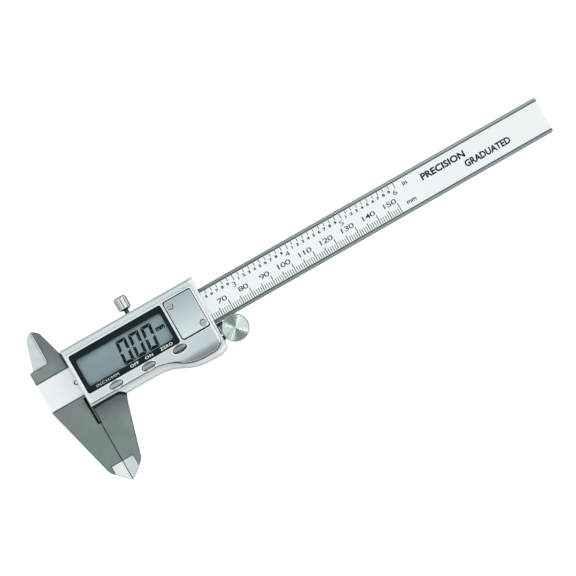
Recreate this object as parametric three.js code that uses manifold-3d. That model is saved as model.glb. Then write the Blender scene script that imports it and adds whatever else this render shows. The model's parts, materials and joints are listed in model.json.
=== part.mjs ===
// Digital caliper for 0 to 150 mm, lying on its back with its jaws closed. Millimetres, +Z up.
//
// The pieces are placed in the caliper's working frame: X runs along the beam from the measuring faces,
// Y across it from its centreline, and Z up from the table. The whole is then moved so that the origin is
// the middle of its footprint on the table.

import * as THREE from 'three';
import { mergeVertices } from 'three/addons/utils/BufferGeometryUtils.js';
import Module from 'manifold-3d';

const wasm = await Module();
wasm.setup();

// ---------------------------------------------------------------- driving dimensions

// Beam, with the fixed jaws at its head.
const HEAD_X = -15.6;
const TAIL_X = 221;
const HALF_WIDTH = 8;
const BEAM_BACK = 2.3;
const BEAM_FRONT = BEAM_BACK + 3.5;
const MID_Z = (BEAM_BACK + BEAM_FRONT) / 2;
const SCALE_HALF = 6.4; // half width of the recess for the scale
const SCALE_FLOOR = BEAM_FRONT - 1;
const ROD_HALF = 1.55; // half width of the depth rod
const GROOVE_TOP = BEAM_BACK + 1.5;

// Jaws. Outside jaws reach down to TIP_Y, inside jaws up to PEAK_Y.
const TIP_Y = -46.5;
const PEAK_Y = 26.7;
const INSIDE_X = -7.4; // line on which the two inside jaws measure
const SHOULDER_Y = 12;
const TIP_ZONE_Y = -37.8; // below this the outside jaws are ground thin
const TIP_ZONE_HALF = 5.4;
const TIP_GRIND = 0.9;
const RELIEF_Y = -20; // the jaws are relieved between the beam and here
const SPLIT_GAP = 0.05; // half of the gap between inside jaws, which pass each other

// Slider.
const SLIDER_LEFT = 0.25;
const SLIDER_RIGHT = 61;
const FRAME_HALF = 13;
const BACK_THICK = 2.2;
const RAIL_TOP = 6;
const LOWER_RAIL_Y = -8.08;
const UPPER_RAIL_Y = 9;
const TRAVEL = 152;

// Casing outlines: a straight lower edge that dips in one S-curve to the belly under the thumb roller's end.
const CASE = { left: 0, right: 61.2, top: 13.8, bottom: -14.7, belly: -20.3, dip: 30, rise: 52, corner: 6 };
const COVER = { left: 0.4, right: 60, top: 11.1, bottom: -11.4, belly: -17.9, dip: 30, rise: 50.5, corner: 5 };
const CASE_END_LEAN = 0.6; // the right end reaches this much further at the top edge, and less at the belly
const CASE_BACK = 0.8;
const CASE_TOP = 9.2;
const CASE_ROUND = 1.2;
const COVER_FRONT = 13.6;
const SHEET = 0.6; // the front cover is pressed from sheet

// Display, battery and buttons.
const BEZEL = { x0: 1.95, x1: 45.2, y0: -7.35, y1: 10.15 };
const SCREEN = { x0: 3.8, x1: 43.5, y0: -4.75, y1: 7.35 };
const HATCH = { x0: 46.2, x1: 59.35, y0: -7.5, y1: 10.5 };
const HATCH_SCREWS = [[48.3, 7.75], [57.2, -5.25]];
const BATTERY = { x: 52.8, y: 1.5, r: 5.8, z0: 6.85, z1: 12.25 };
const BOARD_BACK = 6.05;
const BOARD_FRONT = 6.85;
const BUTTONS = { units: 13.6, power: 28.9, zero: 43.4 };
const BUTTON_Y = -9.3;
const BUTTON_RX = 3.05;
const BUTTON_RY = 1.45;

// Thumb roller, lock screw and end stop.
const ROLLER_X = 67.4;
const ROLLER_R = 5.3; // the part that runs on the beam's edge
const ROLLER_CAP_R = 5.85; // the part that the thumb turns, in front of the beam
const ROLLER_Y = -(HALF_WIDTH + ROLLER_R + 0.03);
const LOCK_X = 31.8;
const STOP_X0 = SLIDER_RIGHT + TRAVEL;
const STOP_X1 = STOP_X0 + 6.2;

const FIT = 0.1; // general clearance between neighbouring pieces
const FACE = 0.02; // clearance between flat faces that rest on each other

// ---------------------------------------------------------------- materials

const finish = (color, roughness, metalness) => new THREE.MeshStandardMaterial({ color, roughness, metalness });

const hardenedSteel = finish(0x858d8b, 0.42, 0.9);
const satinChrome = finish(0xc6cdd0, 0.32, 0.95);
const brightSteel = finish(0xb9bcbb, 0.25, 1);
const brass = finish(0xb9974f, 0.3, 0.95);
const scaleFilm = finish(0xeceef2, 0.5, 0);
const boardGreen = finish(0x1f5a3a, 0.5, 0);
const blackPlastic = finish(0x1d2427, 0.4, 0);
const displayGrey = finish(0x86979b, 0.25, 0);
const clearPlastic = finish(0xe6eef0, 0.08, 0);
const greyPlastic = finish(0x9d9a95, 0.45, 0.2);
const darkRubber = finish(0x2b2b2d, 0.8, 0);

// ---------------------------------------------------------------- geometry helpers

/** A closed three.js geometry as a solid that can be joined and cut. */
function solid(geometry) {
  geometry.deleteAttribute('normal');
  geometry.deleteAttribute('uv');
  const merged = mergeVertices(geometry, 1e-4);
  return new wasm.Manifold(new wasm.Mesh({
    numProp: 3,
    vertProperties: merged.attributes.position.array,
    triVerts: new Uint32Array(merged.index.array),
  }));
}

/** A solid as a flat-shaded geometry. */
function geometryOf(body) {
  const { vertProperties, triVerts } = body.getMesh();
  const indexed = new THREE.BufferGeometry();
  indexed.setAttribute('position', new THREE.BufferAttribute(vertProperties.slice(), 3));
  indexed.setIndex(new THREE.BufferAttribute(triVerts.slice(), 1));
  const flat = indexed.toNonIndexed();
  flat.computeVertexNormals();
  return flat;
}

const join = (first, ...rest) => rest.reduce((body, other) => body.add(other), first);
const cut = (body, ...tools) => tools.reduce((left, tool) => left.subtract(tool), body);

function box(x0, x1, y0, y1, z0, z1) {
  const geometry = new THREE.BoxGeometry(x1 - x0, y1 - y0, z1 - z0);
  return solid(geometry.translate((x0 + x1) / 2, (y0 + y1) / 2, (z0 + z1) / 2));
}

function polygon(points) {
  return new THREE.Shape(points.map(([x, y]) => new THREE.Vector2(x, y)));
}

/** A shape in the XY plane, extruded from z0 to z1. */
function plate(shape, z0, z1, curveSegments = 8) {
  const geometry = new THREE.ExtrudeGeometry(shape, { depth: z1 - z0, bevelEnabled: false, curveSegments });
  return solid(geometry.translate(0, 0, z0));
}

/** The same, with the edge of its top face rounded inwards. */
function roundedPlate(shape, z0, z1, round, bevelSegments, curveSegments = 8) {
  const geometry = new THREE.ExtrudeGeometry(shape, {
    depth: z1 - z0,
    bevelThickness: round,
    bevelSize: round,
    bevelOffset: -round,
    bevelSegments,
    curveSegments,
  });
  return solid(geometry.translate(0, 0, z0 - round));
}

/** A shape in the XZ plane, extruded from y0 to y1. */
function plateAlongY(shape, y0, y1) {
  const geometry = new THREE.ExtrudeGeometry(shape, { depth: y1 - y0, bevelEnabled: false });
  return solid(geometry.translate(0, 0, -y1).rotateX(Math.PI / 2));
}

function discZ(x, y, r, z0, z1, sides = 20) {
  const geometry = new THREE.CylinderGeometry(r, r, z1 - z0, sides).rotateX(Math.PI / 2);
  return solid(geometry.translate(x, y, (z0 + z1) / 2));
}

function discY(x, z, r, y0, y1, sides = 20) {
  const geometry = new THREE.CylinderGeometry(r, r, y1 - y0, sides);
  return solid(geometry.translate(x, (y0 + y1) / 2, z));
}

function ellipse(x, y, rx, ry) {
  return new THREE.Shape().absellipse(x, y, rx, ry, 0, 2 * Math.PI);
}

function roundedRectangle({ x0, x1, y0, y1 }, r, inset = 0) {
  const [left, right, low, high] = [x0 + inset, x1 - inset, y0 + inset, y1 - inset];
  return new THREE.Shape()
    .absarc(right - r, low + r, r, -Math.PI / 2, 0)
    .absarc(right - r, high - r, r, 0, Math.PI / 2)
    .absarc(left + r, high - r, r, Math.PI / 2, Math.PI)
    .absarc(left + r, low + r, r, Math.PI, 1.5 * Math.PI);
}

/** A casing outline, drawn inset by a distance. The S-curve is two equal arcs, level at both its ends. */
function casingOutline({ left, right, top, bottom, belly, dip, rise, corner }, inset = 0) {
  const run = rise - dip;
  const drop = bottom - belly;
  const radius = (run * run + drop * drop) / (4 * drop);
  const turn = 2 * Math.atan(drop / run);
  const r = corner - inset;
  return new THREE.Shape()
    .moveTo(left + inset, bottom + inset)
    .lineTo(dip, bottom + inset)
    .absarc(dip, bottom - radius, radius + inset, Math.PI / 2, Math.PI / 2 - turn, true)
    .absarc(rise, belly + radius, radius - inset, 1.5 * Math.PI - turn, 1.5 * Math.PI)
    .absarc(right - corner, belly + corner, r, -Math.PI / 2, 0)
    .lineTo(right - inset, top - inset)
    .lineTo(left + inset, top - inset);
}

/** A knurled outline with teeth of the given depth. */
function knurledCircle(r, teeth, depth) {
  const points = [];
  for (let i = 0; i < 2 * teeth; i += 1) {
    const angle = (i * Math.PI) / teeth;
    const reach = i % 2 ? r - depth : r;
    points.push([reach * Math.cos(angle), reach * Math.sin(angle)]);
  }
  return polygon(points);
}

/** A slotted screw pointing along +Z from its head's outer face at z = 0. A flush head is countersunk. */
function screw({ length, shank, head, headHeight, flush = false, slot = 0.35 }) {
  const profile = [
    [0, 0],
    [head, 0],
    [flush ? head : head * 0.98, flush ? 0.15 : headHeight],
    [shank, flush ? headHeight : headHeight],
    [shank, length - 0.25],
    [shank * 0.7, length],
    [0, length],
  ].map(([r, z]) => new THREE.Vector2(r, z));
  const body = solid(new THREE.LatheGeometry(profile, 16).rotateX(Math.PI / 2));
  return cut(body, box(-head * 2, head * 2, -slot / 2, slot / 2, -1, headHeight * 0.5));
}

const caliper = new THREE.Group();

/** Adds a solid to the caliper as a named piece. */
function piece(name, body, material, parent = caliper) {
  const mesh = new THREE.Mesh(geometryOf(body), material);
  mesh.name = name;
  parent.add(mesh);
  return mesh;
}

/** Adds a screw whose head faces the table, or the viewer when it is turned over. */
function placeScrew(name, size, x, y, z, turnedOver = false, material = brightSteel) {
  const mesh = piece(name, screw(size), material);
  mesh.position.set(x, y, z);
  if (turnedOver) mesh.rotation.x = Math.PI;
  return mesh;
}

// ---------------------------------------------------------------- beam and fixed jaws

function fixedOutsideJaw() {
  const outline = new THREE.Shape()
    .moveTo(-SPLIT_GAP / 5, -7)
    .lineTo(HEAD_X, -SCALE_HALF - 0.1)
    .lineTo(-7.5, -38.3)
    .quadraticCurveTo(-6.9, -40.2, -5.9, -41)
    .quadraticCurveTo(-2.4, -44.6, -0.4, TIP_Y)
    .lineTo(-SPLIT_GAP / 5, TIP_Y);
  const relief = new THREE.Shape()
    .moveTo(0.5, -HALF_WIDTH + 0.3)
    .lineTo(-1.3, -HALF_WIDTH + 0.3)
    .absarc(-0.65, RELIEF_Y + 0.65, 0.65, Math.PI, 2 * Math.PI)
    .lineTo(0.5, RELIEF_Y + 0.65);
  return cut(
    plate(outline, BEAM_BACK, BEAM_FRONT),
    plate(relief, 0, 9),
    box(-TIP_ZONE_HALF, 1, TIP_Y - 1, TIP_ZONE_Y, BEAM_FRONT - TIP_GRIND, 9),
    box(-TIP_ZONE_HALF, 1, TIP_Y - 1, TIP_ZONE_Y, 0, BEAM_BACK + TIP_GRIND),
  );
}

/** The fixed inside jaw is the front half of the beam's thickness, with a knife edge on its left. */
function fixedInsideJaw() {
  const outline = new THREE.Shape()
    .moveTo(-0.1, 7)
    .lineTo(-0.1, SHOULDER_Y + 0.4)
    .lineTo(-1, 14.2)
    .lineTo(-3.8, 24.1)
    .quadraticCurveTo(-4.6, 25.7, INSIDE_X + 0.5, PEAK_Y)
    .lineTo(INSIDE_X, PEAK_Y)
    .absarc(INSIDE_X, SHOULDER_Y + 0.5, 0.5, Math.PI / 2, -Math.PI / 2, true)
    .absarc(HEAD_X + 0.8, SHOULDER_Y - 0.8, 0.8, Math.PI / 2, Math.PI)
    .lineTo(HEAD_X, 7);
  const knifeEdge = polygon([
    [INSIDE_X - 0.1, BEAM_FRONT + 0.1],
    [INSIDE_X - 0.1, MID_Z + 0.5],
    [INSIDE_X + 0.65, BEAM_FRONT + 0.1],
  ]);
  return cut(
    plate(outline, MID_Z + SPLIT_GAP, BEAM_FRONT),
    plateAlongY(knifeEdge, SHOULDER_Y + 0.9, PEAK_Y + 1),
  );
}

function addBeam() {
  const chamfer = 0.7;
  const bar = polygon([
    [HEAD_X, -HALF_WIDTH + 1.6],
    [TAIL_X, -HALF_WIDTH + 1.6],
    [TAIL_X, HALF_WIDTH],
    [HEAD_X, HALF_WIDTH],
  ]);
  const lowerEdge = polygon([
    [HEAD_X + 1, -HALF_WIDTH],
    [TAIL_X - chamfer, -HALF_WIDTH],
    [TAIL_X, -HALF_WIDTH + chamfer],
    [TAIL_X, 0],
    [HEAD_X + 1, 0],
  ]);
  const upperCorner = polygon([
    [TAIL_X - chamfer, HALF_WIDTH + 0.1],
    [TAIL_X + 0.1, HALF_WIDTH - chamfer - 0.1],
    [TAIL_X + 1, HALF_WIDTH + 1],
  ]);
  const beam = join(
    plate(bar, BEAM_BACK, BEAM_FRONT),
    plate(lowerEdge, BEAM_BACK, BEAM_FRONT),
    fixedOutsideJaw(),
    fixedInsideJaw(),
  );
  const screwHoles = [-1, 1].map((side) => discZ((STOP_X0 + STOP_X1) / 2, side * 4.4, 0.85, 0, 4.45, 12));
  const relief = box(-1.3, -0.01, -HALF_WIDTH - 0.2, -HALF_WIDTH + 0.3, 0, 9);
  piece('main_beam', cut(
    beam,
    plate(upperCorner, 0, 9),
    box(HEAD_X - 1, TAIL_X + 1, -SCALE_HALF, SCALE_HALF, SCALE_FLOOR, 9),
    box(6, TAIL_X + 1, -ROD_HALF - 0.2, ROD_HALF + 0.2, 0, GROOVE_TOP),
    relief,
    ...screwHoles,
  ), hardenedSteel);

  const edge = SCALE_HALF - 0.03;
  piece('scale_circuit_strip', box(HEAD_X, TAIL_X, -edge, edge, SCALE_FLOOR + FACE, SCALE_FLOOR + 0.62), boardGreen);
  piece('scale_overlay', box(HEAD_X, TAIL_X, -edge, edge, SCALE_FLOOR + 0.64, BEAM_FRONT - 0.1), scaleFilm);
}

function addEndStop() {
  const middle = (STOP_X0 + STOP_X1) / 2;
  const outline = roundedRectangle({ x0: STOP_X0, x1: STOP_X1, y0: -6.6, y1: 6.6 }, 1);
  const holes = [-1, 1].map((side) => discZ(middle, side * 4.4, 0.9, 0, 4, 12));
  piece('end_stop_plate', cut(plate(outline, 1.1, BEAM_BACK - FACE, 3), ...holes), brightSteel);
  const size = { length: 4.3, shank: 0.8, head: 1.7, headHeight: 1.05 };
  placeScrew('end_stop_screw_1', size, middle, 4.4, 0);
  placeScrew('end_stop_screw_2', size, middle, -4.4, 0);
}

// ---------------------------------------------------------------- slider frame and moving jaws

function movingOutsideJaw() {
  const outline = new THREE.Shape()
    .moveTo(0.4, -12)
    .lineTo(0.4, RELIEF_Y + 0.1)
    .lineTo(SPLIT_GAP / 5, RELIEF_Y - 0.4)
    .lineTo(SPLIT_GAP / 5, TIP_Y)
    .lineTo(0.4, TIP_Y)
    .quadraticCurveTo(4.2, -44, 7.2, -40.6)
    .lineTo(13.2, -19.8)
    .quadraticCurveTo(14.2, -16.4, 15.4, -14.2)
    .lineTo(15.4, -12);
  return cut(
    plate(outline, BEAM_BACK, BEAM_FRONT),
    box(-1, TIP_ZONE_HALF - 0.4, TIP_Y - 1, TIP_ZONE_Y, BEAM_FRONT - TIP_GRIND, 9),
    box(-1, TIP_ZONE_HALF - 0.4, TIP_Y - 1, TIP_ZONE_Y, 0, BEAM_BACK + TIP_GRIND),
  );
}

/** The moving inside jaw is the back half of the beam's thickness and passes behind the fixed one. */
function movingInsideJaw() {
  const outline = new THREE.Shape()
    .moveTo(4, HALF_WIDTH + 0.15)
    .lineTo(4, SHOULDER_Y)
    .lineTo(INSIDE_X + 0.6, SHOULDER_Y)
    .lineTo(INSIDE_X, SHOULDER_Y + 0.8)
    .lineTo(INSIDE_X, PEAK_Y - 0.2)
    .lineTo(INSIDE_X - 0.5, PEAK_Y - 0.3)
    .quadraticCurveTo(-9.9, 25.5, -10.6, 23.1)
    .lineTo(-13.9, SHOULDER_Y + 0.2)
    .lineTo(-13.9, HALF_WIDTH + 0.15);
  return plate(outline, BEAM_BACK, MID_Z - SPLIT_GAP);
}

// Rear screws as [x, y]: those that hold the casing, and those that hold the chassis and front cover.
const CASE_SCREWS = [[5, 12], [56, 12], [19, -12], [44.5, -12]];
const COVER_SCREWS = [[5.2, -9.9], [49.2, -9.9]];
const BOARD_SCREWS = [[8, 10], [41, 10], [21.2, -9.8], [36.1, -9.8]];
const BRACKET_SCREWS = [[54.3, -10.6], [58.6, -10.6]];
const GIB_SCREWS_X = [14, 49.5];
const FOOT = { x0: 52, x1: 61.85, y0: -12.7, y1: -8.5 };

function addSliderFrame() {
  const frame = join(
    box(SLIDER_LEFT, SLIDER_RIGHT, -FRAME_HALF, FRAME_HALF, 0, BACK_THICK),
    box(SLIDER_LEFT, SLIDER_RIGHT, UPPER_RAIL_Y, FRAME_HALF, 0, RAIL_TOP),
    box(SLIDER_LEFT, SLIDER_RIGHT, -FRAME_HALF, LOWER_RAIL_Y, 0, RAIL_TOP),
    movingOutsideJaw(),
    movingInsideJaw(),
  );
  piece('slider_frame', cut(
    frame,
    box(2.2, 58.8, -7.3, 7.3, -1, 0.35),
    box(FOOT.x0 - FIT, 62, FOOT.y0 - FIT, FOOT.y1 + FIT, -1, 1.4),
    ...CASE_SCREWS.map(([x, y]) => discZ(x, y, 0.85, -1, 9, 12)),
    ...CASE_SCREWS.map(([x, y]) => discZ(x, y, 1.7, -1, 0.9, 16)),
    ...COVER_SCREWS.map(([x, y]) => discZ(x, y, 0.95, -1, 9, 12)),
    ...COVER_SCREWS.map(([x, y]) => discZ(x, y, 1.75, -1, 0.9, 16)),
    ...BOARD_SCREWS.map(([x, y]) => discZ(x, y, 0.75, 3.4, 9, 12)),
    ...BRACKET_SCREWS.map(([x, y]) => discZ(x, y, 0.75, -1, 4.2, 12)),
    ...GIB_SCREWS_X.map((x) => discY(x, MID_Z, 1.1, 8.5, 14, 16)),
    discY(LOCK_X, MID_Z, 1.35, 8.5, 14, 16),
    discZ(50, 0, 0.9, -1, 3, 12),
    discZ(50, 0, 1.6, -1, 1.2, 16),
  ), hardenedSteel);
}

function addGib() {
  piece('gib_strip', box(4.3, 60.2, HALF_WIDTH + 0.05, 8.85, BEAM_BACK + 0.15, BEAM_FRONT - 0.15), brass);
  GIB_SCREWS_X.forEach((x, i) => {
    const body = solid(new THREE.CylinderGeometry(1, 1, 3.2, 16));
    const slotted = cut(body, box(-2, 2, 1.2, 2, -0.2, 0.2));
    piece(`gib_set_screw_${i + 1}`, slotted, brightSteel).position.set(x, 10.52, MID_Z);
  });
}

/** The lock screw bears on a loose pad, which presses the gib against the beam. */
function addLock() {
  piece('lock_pad', discY(LOCK_X, MID_Z, 1.15, 8.92, 9.62, 16), brass);
  const headLow = 15.4;
  const headHigh = 21.4;
  const stem = solid(new THREE.LatheGeometry([
    [0, 9.7], [1.2, 9.7], [1.2, 13.2], [0.95, 13.5], [0.95, headLow + 0.5], [0, headLow + 0.5],
  ].map(([r, y]) => new THREE.Vector2(r, y)), 16).translate(LOCK_X, 0, MID_Z));
  const knob = new THREE.ExtrudeGeometry(knurledCircle(2.8, 16, 0.3), {
    depth: headHigh - headLow - 1,
    bevelThickness: 0.5,
    bevelSize: 0.5,
    bevelOffset: -0.5,
    bevelSegments: 1,
  }).translate(0, 0, -headHigh + 0.5).rotateX(Math.PI / 2).translate(LOCK_X, 0, MID_Z);
  piece('lock_screw', join(stem, solid(knob)), brightSteel);
}

function addDepthRod() {
  const x0 = 45.5;
  const tip = TAIL_X - 0.03;
  const rod = box(x0, tip, -ROD_HALF, ROD_HALF, BEAM_BACK + FIT, GROOVE_TOP - 0.15);
  const tipRelief = box(tip - 3, tip + 1, 0.2, ROD_HALF + 1, 0, 9);
  piece('depth_rod', cut(rod, tipRelief, discZ(50, 0, 0.7, 0, 9, 12)), brightSteel);
  placeScrew('depth_rod_screw', { length: 3.1, shank: 0.6, head: 1.45, headHeight: 0.7, flush: true }, 50, 0, 0.42);
}

// ---------------------------------------------------------------- casing

function addLowerCase() {
  const overhang = 4; // beyond the ends, which are then sawn square
  const long = { ...CASE, left: CASE.left - overhang, right: CASE.right + 1.3 };
  const ends = polygon([
    [CASE.left, CASE.belly - 1], [CASE.right - CASE_END_LEAN, CASE.belly - 1],
    [CASE.right + CASE_END_LEAN, CASE.top + 1], [CASE.left, CASE.top + 1],
  ]);
  const shell = roundedPlate(casingOutline(long), -4, CASE_TOP, CASE_ROUND, 3, 6)
    .intersect(plate(ends, CASE_BACK, 20));
  const jawNotch = new THREE.Shape()
    .moveTo(-2, -12.3)
    .lineTo(12.2, -12.3)
    .quadraticCurveTo(14.2, -12.4, 15.7, -15)
    .lineTo(15.7, -30)
    .lineTo(-2, -30);
  const wall = 1.3;
  const belly = plate(casingOutline(COVER, wall), 2, 20, 6)
    .intersect(box(34, 70, -30, -FRAME_HALF - 0.8, 0, 20));
  piece('lower_case', cut(
    shell,
    box(-5, 70, -FRAME_HALF - 0.15, FRAME_HALF + 0.15, 0, RAIL_TOP + FIT),
    box(1.3, 60, -11.2, 11.05, 5, CASE_TOP - 0.8),
    box(1.3, 59.2, -10.65, 10.35, 5, 20),
    belly,
    plate(jawNotch, 0, 20),
    box(-5, 15.8, -30, -FRAME_HALF + 0.1, 0, RAIL_TOP + FIT),
    ...CASE_SCREWS.map(([x, y]) => discZ(x, y, 0.75, 5, 8.4, 12)),
    ...GIB_SCREWS_X.map((x) => discY(x, MID_Z, 1.3, 12, 15, 16)),
    discY(LOCK_X, MID_Z, 1.6, 12, 15, 16),
  ), satinChrome);
  CASE_SCREWS.forEach(([x, y], i) => {
    placeScrew(`case_screw_${i + 1}`, { length: 8, shank: 0.65, head: 1.5, headHeight: 0.75, flush: true }, x, y, 0.1);
  });
}

function addFrontCover() {
  const back = CASE_TOP + 0.05;
  const shell = roundedPlate(casingOutline(COVER), back - 2, COVER_FRONT, 0.7, 2, 6)
    .intersect(box(-5, 70, -30, 30, back, 20));
  piece('front_cover', cut(
    shell,
    plate(casingOutline(COVER, SHEET), 5, COVER_FRONT - SHEET, 6),
    plate(roundedRectangle(BEZEL, 0.9), 5, 20, 3),
    plate(roundedRectangle(HATCH, 1.2), 5, 20, 3),
    ...Object.values(BUTTONS).map((x) => plate(ellipse(x, BUTTON_Y, BUTTON_RX + FIT, BUTTON_RY + FIT), 5, 20, 12)),
  ), satinChrome);
}

function addRearPlate() {
  piece('rear_plate', plate(roundedRectangle({ x0: 2.4, x1: 58.6, y0: -7.1, y1: 7.1 }, 0.8), 0.05, 0.33, 3), brightSteel);
}

// ---------------------------------------------------------------- electronics

function addCircuitBoard() {
  const outline = polygon([
    [1.7, -11], [59.3, -11], [59.3, -7.6], [45.7, -7.6], [45.7, 10.9], [1.7, 10.9],
  ]);
  piece('circuit_board', cut(
    plate(outline, BOARD_BACK, BOARD_FRONT),
    ...BOARD_SCREWS.map(([x, y]) => discZ(x, y, 0.75, 5, 9, 12)),
    ...COVER_SCREWS.map(([x, y]) => discZ(x, y, 1.6, 5, 9, 16)),
  ), boardGreen);
  BOARD_SCREWS.forEach(([x, y], i) => {
    const size = { length: 3.6, shank: 0.6, head: 1, headHeight: 0.55, slot: 0.25 };
    placeScrew(`board_screw_${i + 1}`, size, x, y, BOARD_FRONT + 0.57, true);
  });
  piece('controller_chip', box(18, 26, -3.2, 4.2, BOARD_FRONT + FACE, 7.9), blackPlastic);
  Object.values(BUTTONS).forEach((x, i) => {
    const profile = [[0, 0], [1.5, 0], [1.3, 0.2], [0.7, 0.4], [0, 0.42]].map(([r, z]) => new THREE.Vector2(r, z));
    const dome = solid(new THREE.LatheGeometry(profile, 16).rotateX(Math.PI / 2));
    piece(`dome_switch_${i + 1}`, dome, brightSteel).position.set(x, BUTTON_Y, BOARD_FRONT + FACE);
  });
}

const LCD = { x0: 2.4, x1: 44.1, y0: -6.2, y1: 8.9, z0: 9.7, z1: 11.7 };

function addDisplay() {
  piece('lcd_panel', box(LCD.x0, LCD.x1, LCD.y0, LCD.y1, LCD.z0, LCD.z1), displayGrey);
  piece('upper_zebra_strip', box(5, 41.5, 6.4, 8.2, BOARD_FRONT + FACE, LCD.z0 - FACE), darkRubber);
  piece('lower_zebra_strip', box(5, 41.5, -5.5, -3.7, BOARD_FRONT + FACE, LCD.z0 - FACE), darkRubber);
  piece('display_window', box(LCD.x0, LCD.x1, LCD.y0, LCD.y1, LCD.z1 + 0.15, 12.4), clearPlastic);
  piece('display_bezel', cut(
    plate(roundedRectangle(BEZEL, 0.8, FIT), 12.45, COVER_FRONT - 0.1, 3),
    plate(roundedRectangle(SCREEN, 1), 10, 20, 3),
  ), blackPlastic);
}

/** The chassis carries the display, guides the buttons and holds the battery. The rear screws pull it down. */
function addChassis() {
  const body = join(
    plate(casingOutline(COVER, SHEET + FIT), CASE_TOP + 0.1, 12.9, 6),
    box(1.5, 59, -10.45, 10.15, 7.95, 10),
    box(46, 59, -7.3, 10.15, 6.1, 10),
    ...COVER_SCREWS.map(([x, y]) => discZ(x, y, 1.45, RAIL_TOP + 0.05, 10, 16).intersect(box(0, 60, -10.45, 0, 0, 20))),
  );
  const wells = Object.values(BUTTONS).map((x) => box(x - 4.1, x + 4.1, -12, -7.8, 5, 20));
  piece('inner_chassis', cut(
    body,
    plate(roundedRectangle(BEZEL, 0.9, -0.1), 12.4, 20, 3),
    plate(roundedRectangle(HATCH, 1.2, -0.1), 12.6, 20, 3),
    box(LCD.x0 - FIT, LCD.x1 + FIT, LCD.y0 - FIT, LCD.y1 + FIT, LCD.z0 - FACE * 2, 20),
    box(4, 42.5, -5.7, 8.4, 5, 20),
    discZ(BATTERY.x, BATTERY.y, BATTERY.r + 0.15, 6.6, 20, 32),
    box(25, 70, -30, -11.9, 11, 20),
    ...wells,
    ...COVER_SCREWS.map(([x, y]) => discZ(x, y, 0.75, 5, 11.2, 12)),
    ...HATCH_SCREWS.map(([x, y]) => discZ(x, y, 0.6, 9.5, 20, 12)),
  ), blackPlastic);
  COVER_SCREWS.forEach(([x, y], i) => {
    const size = { length: 10.8, shank: 0.65, head: 1.55, headHeight: 0.75, flush: true };
    placeScrew(`cover_screw_${i + 1}`, size, x, y, 0.1);
  });
}

function addBattery() {
  const { x, y, r, z0, z1 } = BATTERY;
  const profile = [[0, 0], [r - 0.9, 0], [r - 0.6, 0.5], [r, 0.7], [r, z1 - z0 - 0.3], [r - 0.3, z1 - z0], [0, z1 - z0]]
    .map(([radius, z]) => new THREE.Vector2(radius, z));
  piece('button_cell', solid(new THREE.LatheGeometry(profile, 32).rotateX(Math.PI / 2)), brightSteel)
    .position.set(x, y, z0);
  piece('battery_contact_negative', discZ(x, y, 3.2, 6.64, z0 - 0.04, 16), brass);
  const strip = roundedRectangle({ x0: x - 3.4, x1: x + 3.4, y0: y - 1.6, y1: y + 1.6 }, 0.5);
  piece('battery_contact_positive', plate(strip, z1 + 0.04, 12.66, 3), brass);
  piece('battery_cover', cut(
    plate(roundedRectangle(HATCH, 1.1, 0.12), 12.7, COVER_FRONT - 0.02, 3),
    ...HATCH_SCREWS.map(([sx, sy]) => discZ(sx, sy, 0.75, 10, 20, 12)),
    ...HATCH_SCREWS.map(([sx, sy]) => discZ(sx, sy, 1.45, 13.05, 20, 20)),
  ), satinChrome);
  HATCH_SCREWS.forEach(([sx, sy], i) => {
    const size = { length: 3.6, shank: 0.5, head: 1.35, headHeight: 0.4 };
    placeScrew(`battery_cover_screw_${i + 1}`, size, sx, sy, 13.5, true);
  });
}

function addButtons() {
  Object.entries(BUTTONS).forEach(([name, x]) => {
    const cap = roundedPlate(ellipse(x, BUTTON_Y, BUTTON_RX, BUTTON_RY), 11, 14, 0.25, 1, 12)
      .intersect(box(-5, 70, -30, 30, 12, 20));
    const flange = box(x - 3.8, x + 3.8, BUTTON_Y - 1.2, BUTTON_Y + 1.2, 11.6, 12.85);
    const stem = discZ(x, BUTTON_Y, 0.8, 7.75, 12, 16);
    piece(`button_${name}`, join(cap, flange, stem), greyPlastic);
  });
}

// ---------------------------------------------------------------- thumb roller

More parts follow.
